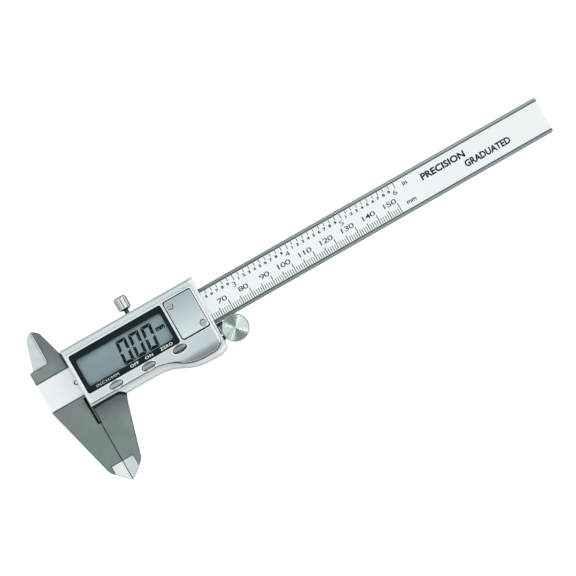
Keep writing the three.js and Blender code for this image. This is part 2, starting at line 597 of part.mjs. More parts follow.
function addRoller() {
  const back = 1.6;
  const shoulder = 6;
  const front = 7.4;
  const layer = (radius, z0, z1) => {
    const chamfer = 0.35;
    return solid(new THREE.ExtrudeGeometry(knurledCircle(radius, 44, 0.22), {
      depth: z1 - z0 - 2 * chamfer,
      bevelThickness: chamfer,
      bevelSize: chamfer,
      bevelOffset: -chamfer,
      bevelSegments: 1,
    }).translate(0, 0, z0 + chamfer));
  };
  const core = discZ(0, 0, ROLLER_R - 0.6, back + 0.5, front - 0.5, 32);
  const wheel = join(layer(ROLLER_R, back, shoulder), layer(ROLLER_CAP_R, shoulder, front), core);
  const roller = cut(wheel, discZ(0, 0, 1.3, 0, 5.4, 24));
  piece('thumb_roller', roller, brightSteel).position.set(ROLLER_X, ROLLER_Y, 0);

  const axle = [[0, 0.3], [1.6, 0.3], [1.6, 0.34], [0.9, 0.34], [0.9, 1.4], [1.2, 1.4], [1.2, 5.2], [0, 5.2]]
    .map(([r, z]) => new THREE.Vector2(r, z));
  piece('roller_axle', solid(new THREE.LatheGeometry(axle, 20).rotateX(Math.PI / 2)), brightSteel)
    .position.set(ROLLER_X, ROLLER_Y, 0);

  const arm = new THREE.Shape()
    .moveTo(FOOT.x1 - 0.6, FOOT.y1)
    .lineTo(FOOT.x0, FOOT.y1)
    .lineTo(FOOT.x0, FOOT.y0)
    .lineTo(FOOT.x1 - 1, FOOT.y0)
    .lineTo(ROLLER_X - 1.5, ROLLER_Y - 2.3)
    .absarc(ROLLER_X, ROLLER_Y, 2.6, -1.9, 1.9)
    .lineTo(FOOT.x1, FOOT.y1);
  const web = box(SLIDER_RIGHT + 0.3, FOOT.x1, -13.6, -9, 0.37, BEAM_FRONT);
  piece('roller_bracket', cut(
    join(plate(arm, 0.37, 1.35, 6), web),
    discZ(ROLLER_X, ROLLER_Y, 1, 0, 5, 16),
    ...BRACKET_SCREWS.map(([x, y]) => discZ(x, y, 0.7, 0, 5, 12)),
    ...BRACKET_SCREWS.map(([x, y]) => discZ(x, y, 1.4, 0, 0.85, 16)),
  ), brightSteel);
  BRACKET_SCREWS.forEach(([x, y], i) => {
    placeScrew(`bracket_screw_${i + 1}`, { length: 3.8, shank: 0.6, head: 1.25, headHeight: 0.45 }, x, y, 0.38);
  });
}

// ---------------------------------------------------------------- assembly

addBeam();
addEndStop();
addSliderFrame();
addGib();
addLock();
addDepthRod();
addLowerCase();
addFrontCover();
addRearPlate();
addCircuitBoard();
addDisplay();
addChassis();
addBattery();
addButtons();
addRoller();

caliper.position.set(-(HEAD_X + TAIL_X) / 2, -(TIP_Y + PEAK_Y) / 2, 0);

export default caliper;
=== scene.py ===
"""A closed digital caliper lying on its back, seen from straight above.

Dimensions below are in millimetres, in the caliper's working frame: X along the beam from the measuring
faces, Y across it from its centreline, Z up from the floor. at() turns them into metres in the frame of the
CAD model.
"""

import json
import math

import bmesh
import bpy
from mathutils import Matrix, Vector
from mathutils.geometry import delaunay_2d_cdt


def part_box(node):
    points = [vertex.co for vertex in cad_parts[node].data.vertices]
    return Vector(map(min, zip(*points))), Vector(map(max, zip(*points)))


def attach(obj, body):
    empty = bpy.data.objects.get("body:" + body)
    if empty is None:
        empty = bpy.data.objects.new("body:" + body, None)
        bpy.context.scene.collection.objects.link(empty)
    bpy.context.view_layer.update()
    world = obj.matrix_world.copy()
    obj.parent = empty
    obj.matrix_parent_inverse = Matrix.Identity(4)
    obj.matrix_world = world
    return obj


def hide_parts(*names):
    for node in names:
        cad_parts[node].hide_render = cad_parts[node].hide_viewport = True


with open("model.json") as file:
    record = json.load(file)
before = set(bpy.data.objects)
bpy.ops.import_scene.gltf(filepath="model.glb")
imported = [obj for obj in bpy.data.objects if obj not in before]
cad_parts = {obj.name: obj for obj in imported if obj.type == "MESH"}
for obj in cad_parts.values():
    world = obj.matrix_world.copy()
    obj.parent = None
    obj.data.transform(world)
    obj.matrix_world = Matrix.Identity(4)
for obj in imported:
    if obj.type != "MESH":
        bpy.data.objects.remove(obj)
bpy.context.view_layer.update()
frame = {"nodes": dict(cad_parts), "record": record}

MM = 0.001

# ---------------------------------------------------------------- driving dimensions

HEAD_X = -15.6                      # left end of the beam
BEAM_LOW, BEAM_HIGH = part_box("main_beam")
FILM_LOW, FILM_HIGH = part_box("scale_overlay")
ORIGIN = Vector((BEAM_LOW.x - HEAD_X * MM, (FILM_LOW.y + FILM_HIGH.y) / 2, 0))

FILM_TOP = FILM_HIGH.z / MM
SCALE_ZERO_X = 0.5                  # the printed zero stands a little right of the measuring faces
SCALE_LOW, SCALE_HIGH = -6.37, 6.37  # the graduations stand on these two edges of the film
SCALE_LENGTH = 150
MM_TICKS = {10: 4.45, 5: 3.45, 1: 2.55}  # length of a tick at each tenth, each fifth and each millimetre
INCH_TICK, TENTH_TICK = 2.35, 1.55
INCH_SHIFT = -0.1                   # the inch scale stands a little left of the millimetre scale
INK_THICK = 0.012
CAPITAL = 0.729                     # height of a capital in Blender's own font at size 1

TIP_ZONE_Y = -37.8                  # the outside jaws' tips are ground bright below this line
RELIEF_LOW_Y, RELIEF_HIGH_Y = -20.8, -8.02  # the groove beside the measuring faces
INSIDE_X = -7.4                     # where the fixed inside jaw's blade begins

COVER = dict(left=0.4, right=60, top=11.1, bottom=-11.4, belly=-17.9, dip=30, rise=50.5, corner=5)
COVER_TOP = 13.6
COVER_BACK = 9.25
COVER_EDGE = 0.7                    # radius of the cover's edge
COVER_SHEET = 0.5
BELLY_DROP = 1.65                   # how far the front rolls away towards the belly
BELLY_ROLL_Y = -12.8                # and where it starts to
BELLY_CURVE = 1.9
BEZEL = (1.95, 45.2, -7.35, 10.15)
HATCH = (46.2, 59.35, -7.5, 10.5)
BUTTON_X = {"button_units": 13.6, "button_power": 28.9, "button_zero": 43.4}
BUTTON_Y = -9.3
BUTTON_RX, BUTTON_RY = 3.0, 1.27
BUTTON_CROWN = 0.7                  # how far a button's round top rises
OVAL_STEPS = 40                     # points in the outline of a button or of its opening

DIGIT_HEIGHT = 10.4
DIGIT_WIDTH = 4.7
DIGIT_PITCH = 5.85
DIGIT_LEAN = 0.1
DIGIT_FIRST_X = 20.6
DIGIT_LOW_Y = -4.45
SEGMENT = 1.3                       # width of a stroke
SEGMENT_THICK = 0.02
POINT_X = (4.85, 5.4)               # the decimal point's sides, from the left of the first figure

ROLLER = (67.4, -13.33)
ROLLER_R = 5.28
ROLLER_CAP_R = 5.83
ROLLER_SHOULDER_Z = 6
ROLLER_TEETH = 72
ROLLER_GROOVE = 0.27                # width of one turned groove in its face
ROLLER_SLOPE = 20                   # the groove's slope in degrees
LOCK_X, LOCK_Z = 31.8, 4.05
LOCK_R = 2.8
LOCK_HEAD = 6
LOCK_PHASE = math.radians(93)       # one flute faces up, a little to the left
LOCK_FLUTES = 8

VIEW_ROLL = math.radians(29.7)      # how far the beam is turned in the picture
VIEW_SCALE = 2433                   # picture pixels to a metre
VIEW_CENTRE = (-0.00849, 0.0)
VIEW_DISTANCE = 1.5

FLOOR_SEEN = 1.0                    # the floor's own glow, as the camera sees it
FLOOR_MIRRORED = 0.08               # and as the metal mirrors it
FLOOR_HALF = 2.5                    # metres
SKY_COLOR = (0.97, 1.0, 1.0)
SKY_TOP = 0.88
SKY_LEFT = 0.7
SKY_RIGHT = 1.05
SKY_ACROSS = 0.29
SKY_HORIZON = 0.4                   # the surroundings darken towards the horizon
SKY_STRIPS = 3.6                    # narrow bright strips between the bright and the dark quarters


def at(x, y, z=0):
    """A point of the working frame, in metres in the CAD model's frame."""
    return Vector((x, y, z)) * MM + ORIGIN


# ---------------------------------------------------------------- materials

def new_material(name):
    """A new material, with its nodes and its links."""
    material = bpy.data.materials.new(name)
    material.use_nodes = True
    return material, material.node_tree.nodes, material.node_tree.links


def noise(nodes, links, scale, stretch=(1, 1, 1), detail=4.0):
    """A noise pattern in object space: scale is in features per metre, stretch lengthens them on an axis."""
    coordinates = nodes.new("ShaderNodeTexCoord")
    mapping = nodes.new("ShaderNodeMapping")
    mapping.inputs["Scale"].default_value = [1 / s for s in stretch]
    texture = nodes.new("ShaderNodeTexNoise")
    texture.inputs["Scale"].default_value = scale
    texture.inputs["Detail"].default_value = detail
    links.new(coordinates.outputs["Object"], mapping.inputs["Vector"])
    links.new(mapping.outputs["Vector"], texture.inputs["Vector"])
    return texture.outputs["Fac"]


def spread(nodes, links, value, low, high, start=0.3, end=0.7):
    """Maps a value between start and end onto low..high."""
    remap = nodes.new("ShaderNodeMapRange")
    remap.inputs["From Min"].default_value = start
    remap.inputs["From Max"].default_value = end
    remap.inputs["To Min"].default_value = low
    remap.inputs["To Max"].default_value = high
    links.new(value, remap.inputs["Value"])
    return remap.outputs["Result"]


def tinted(nodes, links, value, dark, light):
    """Mixes two colours by a noise value."""
    mix = nodes.new("ShaderNodeMix")
    mix.data_type = "RGBA"
    mix.inputs["A"].default_value = (*dark, 1)
    mix.inputs["B"].default_value = (*light, 1)
    links.new(spread(nodes, links, value, 0, 1), mix.inputs["Factor"])
    return mix.outputs["Result"]


def shaded(color, factor):
    """A colour made darker or lighter by a factor."""
    return tuple(min(1.0, c * factor) for c in color)


def surface(
    name, color, roughness, metallic=0.0, vary=0.08, vary_scale=150, stretch=(1, 1, 1), grain=1500,
    bump=0.0, rough_vary=0.08, specular=0.5,
):
    """A material with a broad colour variation, a finer grain in its roughness, and a fine bump."""
    material, nodes, links = new_material(name)
    shader = nodes["Principled BSDF"]
    shader.inputs["Metallic"].default_value = metallic
    shader.inputs["Specular IOR Level"].default_value = specular
    broad = noise(nodes, links, vary_scale, detail=3)
    fine = noise(nodes, links, grain, stretch, detail=5)
    color_out = tinted(nodes, links, broad, shaded(color, 1 - vary), shaded(color, 1 + vary))
    links.new(color_out, shader.inputs["Base Color"])
    rough_out = spread(nodes, links, fine, roughness - rough_vary, roughness + rough_vary)
    links.new(rough_out, shader.inputs["Roughness"])
    if bump:
        node = nodes.new("ShaderNodeBump")
        node.inputs["Distance"].default_value = bump
        links.new(fine, node.inputs["Height"])
        links.new(node.outputs["Normal"], shader.inputs["Normal"])
    return material


def recolor(material, factor, color):
    """Mixes another colour into a material's base colour, by a factor that varies over the surface."""
    nodes, links = material.node_tree.nodes, material.node_tree.links
    socket = nodes["Principled BSDF"].inputs["Base Color"]
    mix = nodes.new("ShaderNodeMix")
    mix.data_type = "RGBA"
    links.new(factor, mix.inputs["Factor"])
    links.new(socket.links[0].from_socket, mix.inputs["A"])
    mix.inputs["B"].default_value = (*color, 1)
    links.new(mix.outputs["Result"], socket)


def rub_edges(material, radius, color, start=0.8, end=0.99):
    """Painted reflection on edges: within a radius in millimetres, edges take another colour, a painted
    highlight where it is lighter and painted shade where it is darker.

    Higher values of start and end widen the band.
    """
    nodes, links = material.node_tree.nodes, material.node_tree.links
    rounded = nodes.new("ShaderNodeBevel")
    rounded.samples = 6
    rounded.inputs["Radius"].default_value = radius * MM
    geometry = nodes.new("ShaderNodeNewGeometry")
    agree = nodes.new("ShaderNodeVectorMath")
    agree.operation = "DOT_PRODUCT"
    links.new(rounded.outputs["Normal"], agree.inputs[0])
    links.new(geometry.outputs["Normal"], agree.inputs[1])
    recolor(material, spread(nodes, links, agree.outputs["Value"], 1, 0, start, end), color)


def soil_crevices(material, distance, color, strength=1.0, closed=0.2, opened=0.7):
    """Painted shade: corners and narrow gaps darken by ambient occlusion, within a distance in millimetres.
    """
    nodes, links = material.node_tree.nodes, material.node_tree.links
    open_sky = nodes.new("ShaderNodeAmbientOcclusion")
    open_sky.samples = 8
    open_sky.inputs["Distance"].default_value = distance * MM
    recolor(material, spread(nodes, links, open_sky.outputs["AO"], strength, 0, closed, opened), color)


def grade(material, axis, start, end, color, strength=1.0):
    """Another colour comes in smoothly along an axis, between two places in millimetres."""
    nodes, links = material.node_tree.nodes, material.node_tree.links
    coordinates = nodes.new("ShaderNodeTexCoord")
    parts = nodes.new("ShaderNodeSeparateXYZ")
    links.new(coordinates.outputs["Object"], parts.inputs["Vector"])
    shift = ORIGIN["XYZ".index(axis)]
    factor = spread(nodes, links, parts.outputs[axis], 0, strength, start * MM + shift, end * MM + shift)
    recolor(material, factor, color)


def turned(name, color, roughness):
    """Metal turned on a lathe: fine grooves run round its Z axis, so it mirrors light in sectors."""
    material = surface(name, color, roughness, metallic=1, vary=0.04, rough_vary=0.03)
    nodes, links = material.node_tree.nodes, material.node_tree.links
    shader = nodes["Principled BSDF"]
    shader.inputs["Anisotropic"].default_value = 0.5
    tangent = nodes.new("ShaderNodeTangent")
    tangent.direction_type = "RADIAL"
    tangent.axis = "Z"
    links.new(tangent.outputs["Tangent"], shader.inputs["Tangent"])
    return material


def clear(name):
    """A window of clear plastic, with little reflection."""
    material = surface(name, (0.96, 0.98, 0.98), 0.03, vary=0.01, rough_vary=0.01, specular=0.15)
    shader = material.node_tree.nodes["Principled BSDF"]
    shader.inputs["Transmission Weight"].default_value = 1
    shader.inputs["IOR"].default_value = 1.12
    return material


# Name, colour, roughness, metallic, variation of the colour and its scale, stretch of the grain and its
# scale, height of the bump in metres.
STEEL = surface("satin_steel", (0.27, 0.325, 0.325), 0.42, 1, 0.1, 110, (1, 14, 1), 2600, 0.000004)
# The same satin steel for the slider's frame, so that the painted shadow of the casing lies on its jaw alone.
SLIDER_STEEL = surface("slider_steel", (0.27, 0.325, 0.325), 0.42, 1, 0.1, 110, (1, 14, 1), 2600, 0.000004)
GROUND = surface("ground_steel", (0.72, 0.8, 0.81), 0.34, 1, 0.05, 300, (12, 1, 1), 5200, 0.000003)
CASE = surface("satin_chrome", (0.76, 0.845, 0.86), 0.34, 0.9, 0.045, 70, (1, 1, 1), 6500, 0.000002)
# Painted light: the rim is the casing's chrome made lighter and less metallic.
RIM_CHROME = surface("rim_chrome", (0.88, 0.96, 0.97), 0.32, 0.6, 0.03, 90, (1, 1, 1), 6500, 0.000002)
HATCH_CHROME = surface("hatch_chrome", (0.81, 0.91, 0.93), 0.38, 1, 0.04, 90, (1, 1, 1), 6500, 0.000002)
# Painted highlight: near-white chrome on the rims and edges that catch the light.
HIGHLIGHT_CHROME = surface("chrome_painted_highlight", (0.95, 1, 1), 0.25, 0.3, 0.03, 300, (1, 1, 1), 5000)
GROUND_BRIGHT = surface("ground_tip", (0.93, 0.99, 1), 0.34, 1, 0.04, 300, (12, 1, 1), 5200, 0.000003)
# Painted shade in the fold between the cover's edge and the rim.
SHADED_FOLD = surface("shaded_seam", (0.13, 0.165, 0.175), 0.4, 0.8, 0.08, 300, (1, 1, 1), 5000)
# Black for the felt wipers, and black painted shade in recesses, gaps and openings.
BLACK_FELT_AND_SHADE = surface("black_felt_and_painted_shade", (0.02, 0.03, 0.03), 0.7, 0, 0.3, 900, (1, 1, 1), 3000, specular=0.1)
BRIGHT = surface("bright_steel", (0.55, 0.6, 0.59), 0.3, 1, 0.05, 400, (1, 1, 8), 3000, 0.000002)
POLISHED = surface("polished_steel", (0.74, 0.79, 0.78), 0.14, 1, 0.04, 400, (1, 8, 1), 3000)
# Painted shade: dark steel for the lock screw's flutes and neck and for the lines along the film's edges.
SHADE_STEEL = surface("steel_painted_shade", (0.09, 0.11, 0.11), 0.4, 1, 0.15, 400, (1, 1, 4), 3000, 0.000002)
TURNED = turned("turned_steel", (0.7, 0.785, 0.775), 0.22)
BRASS = surface("brass", (0.62, 0.44, 0.16), 0.35, 1, 0.08, 500, (1, 1, 6), 3000)
FILM = surface(
    "scale_film", (0.86, 0.885, 0.905), 0.45, 0, 0.012, 60, (1, 1, 1), 4000, 0.000001, specular=0.3,
)
INK = surface("printing_ink", (0.02, 0.028, 0.034), 0.5, 0, 0.25, 2500, (1, 1, 1), 5000, specular=0.1)
LABEL_INK = surface("label_ink", (0.92, 0.96, 0.97), 0.5, 0, 0.06, 2500, (1, 1, 1), 5000)
BOARD = surface("circuit_laminate", (0.02, 0.1, 0.05), 0.35, 0, 0.2, 700, (1, 1, 1), 3000)
BLACK = surface(
    "black_plastic", (0.006, 0.013, 0.016), 0.3, 0, 0.2, 400, (1, 1, 1), 4000, 0.000001, specular=0.12,
)
LCD = surface("display_cell", (0.297, 0.38, 0.405), 0.35, 0, 0.05, 70, (1, 1, 1), 5000, specular=0.1)
LCD_DARK = surface(
    "display_segments", (0.004, 0.012, 0.018), 0.35, 0, 0.2, 1200, (1, 1, 1), 5000, specular=0.05,
)
KEY = surface("button_plastic", (0.5, 0.54, 0.53), 0.3, 0.85, 0.06, 900, (1, 1, 1), 6000, 0.000002)
RUBBER = surface("zebra_rubber", (0.03, 0.03, 0.032), 0.8, 0, 0.2, 1500, (1, 1, 1), 4000)
CLEAR = clear("clear_window")

# The metal mirrors darker and brighter parts of a room, so its colour changes slowly over the piece: these
# grades paint that reflection into the colour, with painted shadows of the slider and the casing on the
# steel, painted shade on the belly and painted highlights along the edges.
grade(STEEL, "Y", 11, 18, (0.19, 0.23, 0.23), 0.8)
grade(STEEL, "X", 60, 150, (0.46, 0.54, 0.54), 0.85)
# Painted shade along the beam's lower band.
grade(STEEL, "Y", -6, -7.5, (0.22, 0.27, 0.27), 0.35)
# Painted shadow of the casing on the moving jaw.
grade(SLIDER_STEEL, "Y", -23, -14.5, (0.12, 0.15, 0.15), 0.75)
grade(CASE, "X", 20, 52, (0.6, 0.7, 0.73), 0.7)
grade(CASE, "X", 2.2, 1.2, (0.87, 0.91, 0.91), 0.6)
grade(CASE, "X", 58.9, 59.5, (0.97, 1, 1), 1)
grade(CASE, "Y", -14.8, -17.4, (0.4, 0.48, 0.5), 0.75)
grade(RIM_CHROME, "Y", 2, 11, (0.74, 0.86, 0.88), 0.8)
grade(RIM_CHROME, "X", 30, 50, (0.6, 0.71, 0.73), 0.35)
grade(RIM_CHROME, "X", 26, 8, (0.68, 0.79, 0.83), 0.45)
grade(RIM_CHROME, "Y", -16.5, -18.2, (1, 1, 1))
grade(RIM_CHROME, "X", 60, 60.4, (0.97, 1, 1), 0.9)
grade(HATCH_CHROME, "Y", -6, 9, (0.49, 0.59, 0.62))
# Painted highlights along the chrome's edges.
rub_edges(CASE, 0.3, (0.85, 0.93, 0.95))
rub_edges(RIM_CHROME, 0.35, (0.97, 1, 1))
rub_edges(HATCH_CHROME, 0.8, (0.97, 1, 1))
# The steel's edges take a painted dark reflection; painted shade lies under the casing and in its corners and
# gaps.
for steel_material in (STEEL, SLIDER_STEEL):
    rub_edges(steel_material, 0.6, (0.11, 0.135, 0.135), 0.93, 0.998)
    soil_crevices(steel_material, 5, (0.1, 0.12, 0.12), 0.7, 0.4, 0.95)
    soil_crevices(steel_material, 0.9, (0.01, 0.014, 0.014), 1, 0.45, 0.85)
# Painted shade in the corners and gaps of the ground steel, the chrome and the bright steel.
soil_crevices(GROUND, 0.8, (0.02, 0.025, 0.025))
soil_crevices(CASE, 0.9, (0.02, 0.03, 0.032), 1, 0.3, 0.7)
soil_crevices(RIM_CHROME, 0.7, (0.1, 0.13, 0.135), 0.4, 0.35, 0.75)
soil_crevices(HATCH_CHROME, 0.5, (0.02, 0.03, 0.032))
soil_crevices(BRIGHT, 0.6, (0.03, 0.035, 0.035), 0.7, 0.3, 0.75)
# Painted reflection on the buttons, darker towards the right, and painted shade around them.
grade(KEY, "X", 15, 44, (0.3, 0.32, 0.315), 0.9)
soil_crevices(KEY, 0.5, (0.02, 0.025, 0.025))

SLOT_MATERIALS = {
    "hardened_steel": STEEL,
    "satin_case": CASE,
    "bright_steel": BRIGHT,
    "brass": BRASS,
    "scale_film": FILM,
    "circuit_laminate": BOARD,
    "black_plastic": BLACK,
    "display_glass": LCD,
    "clear_window": CLEAR,
    "button_plastic": KEY,
    "zebra_rubber": RUBBER,
}


# ---------------------------------------------------------------- mesh helpers

SLOT_OF = {part["node"]: part["material_slot"] for part in frame["record"]["subparts"]}
BODY_OF = {
    node: body for body, members in frame["record"]["behaviour"]["bodies"].items() for node in members
}


def finish_piece(name, bm, materials, body, replaces=(), sharp=35, weigh=False):
    """Makes an object of a bmesh, smooth except at its sharp edges, attaches it to its body and hides the CAD
    nodes it replaces.
    """
    mesh = bpy.data.meshes.new(name)
    bmesh.ops.recalc_face_normals(bm, faces=bm.faces)
    bm.to_mesh(mesh)
    bm.free()
    for face in mesh.polygons:
        face.use_smooth = True
    mesh.set_sharp_from_angle(angle=math.radians(sharp))
    for material in materials:
        mesh.materials.append(material)
    piece = bpy.data.objects.new(name, mesh)
    bpy.context.scene.collection.objects.link(piece)
    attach(piece, body)
    if weigh:
        weighted = piece.modifiers.new("flat_faces", "WEIGHTED_NORMAL")
        weighted.keep_sharp = True
        weighted.weight = 100
    if replaces:
        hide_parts(*replaces)
    return piece


def softened(node, edge, segments=2, angle=28):
    """A CAD node's mesh with its facets joined and its sharp edges rounded."""
    bm = bmesh.new()
    bm.from_mesh(frame["nodes"][node].data)
    bmesh.ops.remove_doubles(bm, verts=bm.verts, dist=2e-5)
    bmesh.ops.dissolve_limit(bm, angle_limit=math.radians(0.6), verts=bm.verts, edges=bm.edges)
    sharp = [e for e in bm.edges if len(e.link_faces) == 2 and e.calc_face_angle(0) > math.radians(angle)]
    bmesh.ops.bevel(
        bm, geom=sharp, offset=edge * MM, offset_type="OFFSET", segments=segments, profile=0.5,
        affect="EDGES", clamp_overlap=False,
    )
    return bm


def refine(node, edge=0.08, segments=2, material=None, extra=(), choose=None, sharp=35, shrink=None):
    """Replaces a CAD node by its softened copy. choose(face) gives the number of a face's material."""
    bm = softened(node, edge, segments)
    if shrink:
        low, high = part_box(node)
        middle = (low + high) / 2
        across = [1 - 2 * shrink[i] * MM / (high[i] - low[i]) for i in (0, 1)]
        bmesh.ops.transform(bm, verts=bm.verts, matrix=Matrix.Translation(-middle))
        bmesh.ops.scale(bm, verts=bm.verts, vec=(across[0], across[1], 1))
        bmesh.ops.transform(bm, verts=bm.verts, matrix=Matrix.Translation(middle))
    if choose:
        bm.normal_update()
        for face in bm.faces:
            face.material_index = choose(face)
    slot = SLOT_OF[node]
    materials = [material or SLOT_MATERIALS[slot], *extra]
    return finish_piece(f"{node}_finished", bm, materials, BODY_OF[node], [node], sharp, True)


def inside(point, ring):
    """True if a 2D point is inside a closed ring."""
    x, y = point
    odd = False
    for (ax, ay), (bx, by) in zip(ring, ring[1:] + ring[:1]):
        if (ay > y) != (by > y) and x < (bx - ax) * (y - ay) / (by - ay) + ax:
            odd = not odd
    return odd


def arc(cx, cy, r, start, end, steps):
    """Points on an arc, from one angle to another."""
    turns = [start + (end - start) * i / steps for i in range(steps + 1)]
    return [(cx + r * math.cos(turn), cy + r * math.sin(turn)) for turn in turns]


def cover_ring(inset):
    """The cover's outline, inset by a distance, anticlockwise. Every inset gives as many points."""
    c = COVER
    run, drop = c["rise"] - c["dip"], c["bottom"] - c["belly"]
    radius = (run * run + drop * drop) / (4 * drop)
    turn = 2 * math.atan(drop / run)
    half = math.pi / 2
    left, right, top = c["left"] + inset, c["right"] - inset, c["top"] - inset
    ring = [(left + (c["dip"] - left) * i / 20, c["bottom"] + inset) for i in range(20)]
    ring += arc(c["dip"], c["bottom"] - radius, radius + inset, half, half - turn, 14)
    ring += arc(c["rise"], c["belly"] + radius, radius - inset, 3 * half - turn, 3 * half, 14)[1:]
    ring += arc(c["right"] - c["corner"], c["belly"] + c["corner"], c["corner"] - inset, -half, 0, 14)
    low = c["belly"] + c["corner"]
    ring += [(right, low + (top - low) * i / 16) for i in range(1, 16)]
    round_corner = 1.2 - min(inset, 1.0)
    ring += arc(right - round_corner, top - round_corner, round_corner, 0, half, 4)
    width = left + round_corner - right + round_corner
    ring += [(right - round_corner + width * i / 36, top) for i in range(1, 36)]
    ring += arc(left + round_corner, top - round_corner, round_corner, half, 2 * half, 4)
    height = c["bottom"] + inset - top + round_corner
    ring += [(left, top - round_corner + height * i / 14) for i in range(1, 14)]
    return ring


def rounded_ring(limits, r, grow=0.0, steps=6):
    """A rounded rectangle, grown by a distance."""
    x0, x1, y0, y1 = limits
    x0, x1, y0, y1, r = x0 - grow, x1 + grow, y0 - grow, y1 + grow, r + grow
    half = math.pi / 2
    ring = arc(x1 - r, y0 + r, r, -half, 0, steps)
    ring += arc(x1 - r, y1 - r, r, 0, half, steps)
    ring += arc(x0 + r, y1 - r, r, half, 2 * half, steps)
    ring += arc(x0 + r, y0 + r, r, 2 * half, 3 * half, steps)
    return ring


def oval_ring(x, y, rx, ry, grow=0.0):
    """An oval, grown by a distance."""
    turns = [2 * math.pi * i / OVAL_STEPS for i in range(OVAL_STEPS)]
    return [(x + (rx + grow) * math.cos(turn), y + (ry + grow) * math.sin(turn)) for turn in turns]


def add_ring(bm, points, height):
    """Adds a ring of vertices; height is a number, or a function of x and y."""
    level = height if callable(height) else lambda x, y: height
    return [bm.verts.new(at(x, y, level(x, y))) for x, y in points]


def bridge(bm, first, second, material=0):
    """Joins two rings of the same length with quads."""
    n = len(first)
    for i in range(n):
        face = bm.faces.new((first[i], first[(i + 1) % n], second[(i + 1) % n], second[i]))
        face.material_index = material


def stack(bm, rings, materials=()):
    """Adds rings given as (points, height) and joins each to the next."""
    made = [add_ring(bm, points, height) for points, height in rings]
    for i, (first, second) in enumerate(zip(made, made[1:])):
        bridge(bm, first, second, materials[i] if materials else 0)
    return made


def revolve(bm, profile, place, count, material=0):
    """Adds a closed turned body. A profile point is a radius, or a function of the angle, and a position."""
    made = []
    turns = [2 * math.pi * i / count for i in range(count)]
    for radius, along in profile:
        reach = radius if callable(radius) else lambda angle, radius=radius: radius
        points = [(reach(turn) * math.cos(turn), reach(turn) * math.sin(turn)) for turn in turns]
        made.append([bm.verts.new(place(a, b, along)) for a, b in points])
    for first, second in zip(made, made[1:]):
        bridge(bm, first, second, material)
    for ring in (made[0], made[-1]):
        bm.faces.new(ring).material_index = material


def cap(bm, ring):
    """Closes a ring with one face."""
    bm.faces.new(ring)


# ---------------------------------------------------------------- lettering

def glyphs(
    bm, words, height, x, y, z, anchor="centre", widen=1.0, thick=INK_THICK, lean=0.0, bold=0.025, gap=1.0,
):
    """Adds raised lettering: height is that of a capital, and x, y its anchor on the base line."""
    curve = bpy.data.curves.new("lettering", "FONT")
    curve.body = words
    curve.size = 1
    curve.extrude = 0.5
    curve.offset = bold
    curve.space_character = gap
    curve.resolution_u = 3
    holder = bpy.data.objects.new("lettering", curve)
    bpy.context.scene.collection.objects.link(holder)
    mesh = bpy.data.meshes.new_from_object(holder.evaluated_get(bpy.context.evaluated_depsgraph_get()))
    bpy.data.objects.remove(holder)
    bpy.data.curves.remove(curve)
    xs = [v.co.x for v in mesh.vertices]
    scale = height / CAPITAL
    start = {"left": min(xs), "centre": (min(xs) + max(xs)) / 2, "right": max(xs)}[anchor]
    for v in mesh.vertices:
        up = v.co.y * scale
        across = (v.co.x - start) * scale * widen + up * lean
        v.co = at(x + across, y + up, z + (v.co.z + 0.5) * thick)
    bm.from_mesh(mesh)
    bpy.data.meshes.remove(mesh)


def bar(bm, x0, x1, y0, y1, z0, z1):
    """Adds a box."""
    outline = ((x0, y0), (x1, y0), (x1, y1), (x0, y1))
    corners = [[bm.verts.new(at(x, y, z)) for x, y in outline] for z in (z0, z1)]
    bridge(bm, *corners)
    bm.faces.new(corners[0][::-1])
    bm.faces.new(corners[1])


def slab(bm, outline, z0, z1):
    """Adds a flat body with any outline."""
    low = [bm.verts.new(at(x, y, z0)) for x, y in outline]
    high = [bm.verts.new(at(x, y, z1)) for x, y in outline]
    bridge(bm, low, high)
    bm.faces.new(low[::-1])
    bm.faces.new(high)


def printed_scale():
    """Millimetre and inch graduations, ticks and numbers, on the film."""
    bm = bmesh.new()
    z = FILM_TOP + 0.001

    def tick(x, y0, y1, width):
        bar(bm, x - width / 2, x + width / 2, y0, y1, z, z + INK_THICK)

    def number(value, x, height, base, anchor, widen, bold, gap=1.0):
        glyphs(bm, str(value), height, x, base, z, anchor, widen, bold=bold, gap=gap)

    def words(text, height, x, y, widen, bold=0.025):
        glyphs(bm, text, height, x, y, z, "left", widen, bold=bold)

    for mm in range(SCALE_LENGTH + 1):
        length = next(MM_TICKS[step] for step in MM_TICKS if mm % step == 0)
        tick(SCALE_ZERO_X + mm, SCALE_LOW + 0.1, SCALE_LOW + length, 0.34 if mm % 5 == 0 else 0.26)
    for mm in range(0, SCALE_LENGTH + 1, 10):
        number(mm, SCALE_ZERO_X + mm, 2.15, SCALE_LOW + 4.8, "right", 1.65, 0.006, 0.9)
    for tenth in range(61):
        x = SCALE_ZERO_X + tenth * 2.54 + INCH_SHIFT
        whole = tenth % 10 == 0
        length = INCH_TICK if whole else TENTH_TICK
        tick(x, SCALE_HIGH - length, SCALE_HIGH - 0.1, 0.32 if whole else 0.27)
        if not whole:
            number(tenth % 10, x - 0.58, 1.15, SCALE_HIGH - 3.15, "centre", 1.4, 0.05)
        elif tenth:
            number(tenth // 10, x - 0.05, 2.15, SCALE_HIGH - 4.95, "right", 1.5, 0.0)
    words("in", 1.9, 156.2, 3.2, 1.2)
    words("mm", 1.9, 154.1, -4.4, 1.1)
    words("PRECISION", 2.8, 164.2, 1.15, 1.1, 0.04)
    words("GRADUATED", 2.8, 182.6, -3.1, 0.92, 0.04)
    finish_piece("printed_scale", bm, [INK], "beam")


